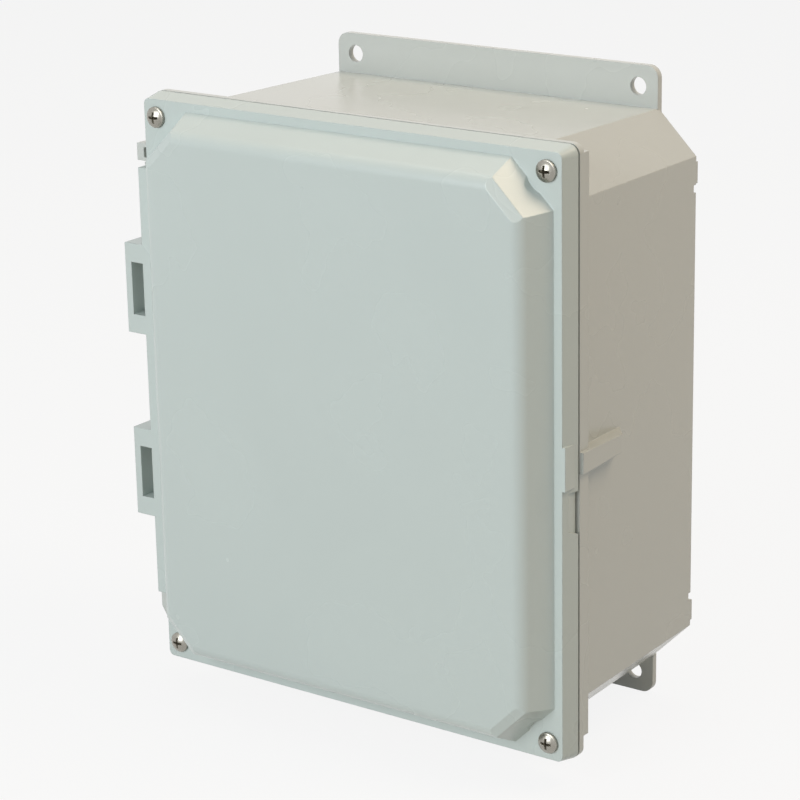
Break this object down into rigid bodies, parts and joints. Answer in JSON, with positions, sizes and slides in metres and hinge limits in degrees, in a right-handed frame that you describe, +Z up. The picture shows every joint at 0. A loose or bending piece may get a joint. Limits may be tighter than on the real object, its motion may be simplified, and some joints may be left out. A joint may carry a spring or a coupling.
{
  "type": "hinged polycarbonate enclosure",
  "caption": "Wall-mount plastic enclosure with a side-hinged cover that has a raised, corner-cut panel, moulded mounting flanges and captive cover screws.",
  "frame": {"origin": "centre of the four wall-mounting holes, in the wall plane at the back of the flanges", "axes": "+Z up along the tall side, +Y into the wall, so the cover faces -Y; +X to the viewer's right, so the hinge is on the -X side"},
  "size_m": [0.237, 0.1302, 0.292],
  "materials": {
    "polycarbonate": "satin",
    "polycarbonate_cover": "satin",
    "gasket_foam": "matte",
    "stainless_steel": "satin",
    "nylon": "matte",
    "brass": "satin"
  },
  "bodies": {
    "base": {"enclosure_base": "polycarbonate", "hinge_pin_upper": "stainless_steel", "hinge_pin_lower": "stainless_steel", "corner_insert_ul": "brass", "corner_insert_ur": "brass", "corner_insert_ll": "brass", "corner_insert_lr": "brass", "panel_insert_ul": "brass", "panel_insert_ur": "brass", "panel_insert_ll": "brass", "panel_insert_lr": "brass"},
    "cover": {"cover": "polycarbonate_cover", "cover_gasket": "gasket_foam"},
    "retainer_ul": {"screw_retainer_ul": "nylon"},
    "screw_ul": {"cover_screw_ul": "stainless_steel"},
    "retainer_ur": {"screw_retainer_ur": "nylon"},
    "screw_ur": {"cover_screw_ur": "stainless_steel"},
    "retainer_ll": {"screw_retainer_ll": "nylon"},
    "screw_ll": {"cover_screw_ll": "stainless_steel"},
    "retainer_lr": {"screw_retainer_lr": "nylon"},
    "screw_lr": {"cover_screw_lr": "stainless_steel"}
  },
  "joints": [
    {"name": "cover_hinge", "type": "hinge", "parent": "base", "child": "cover", "pos_m": [-0.117, -0.102, 0], "axis": [0, 0, -1], "range_deg": [0, 120]},
    {"name": "screw_lift_ul", "type": "slide", "parent": "cover", "child": "retainer_ul", "axis": [0, -1, 0], "range_m": [0, 0.00529]},
    {"name": "screw_turn_ul", "type": "hinge", "parent": "retainer_ul", "child": "screw_ul", "pos_m": [-0.102, -0.11, 0.124], "axis": [0, -1, 0], "range_deg": [0, 2400]},
    {"name": "screw_lift_ur", "type": "slide", "parent": "cover", "child": "retainer_ur", "axis": [0, -1, 0], "range_m": [0, 0.00529]},
    {"name": "screw_turn_ur", "type": "hinge", "parent": "retainer_ur", "child": "screw_ur", "pos_m": [0.102, -0.11, 0.124], "axis": [0, -1, 0], "range_deg": [0, 2400]},
    {"name": "screw_lift_ll", "type": "slide", "parent": "cover", "child": "retainer_ll", "axis": [0, -1, 0], "range_m": [0, 0.00529]},
    {"name": "screw_turn_ll", "type": "hinge", "parent": "retainer_ll", "child": "screw_ll", "pos_m": [-0.102, -0.11, -0.124], "axis": [0, -1, 0], "range_deg": [0, 2400]},
    {"name": "screw_lift_lr", "type": "slide", "parent": "cover", "child": "retainer_lr", "axis": [0, -1, 0], "range_m": [0, 0.00529]},
    {"name": "screw_turn_lr", "type": "hinge", "parent": "retainer_lr", "child": "screw_lr", "pos_m": [0.102, -0.11, -0.124], "axis": [0, -1, 0], "range_deg": [0, 2400]}
  ],
  "couplings": [
    {"joint": "screw_turn_ul", "follows": "screw_lift_ul", "rad_per_m": 7915.8},
    {"joint": "screw_turn_ur", "follows": "screw_lift_ur", "rad_per_m": 7915.8},
    {"joint": "screw_turn_ll", "follows": "screw_lift_ll", "rad_per_m": 7915.8},
    {"joint": "screw_turn_lr", "follows": "screw_lift_lr", "rad_per_m": 7915.8}
  ]
}
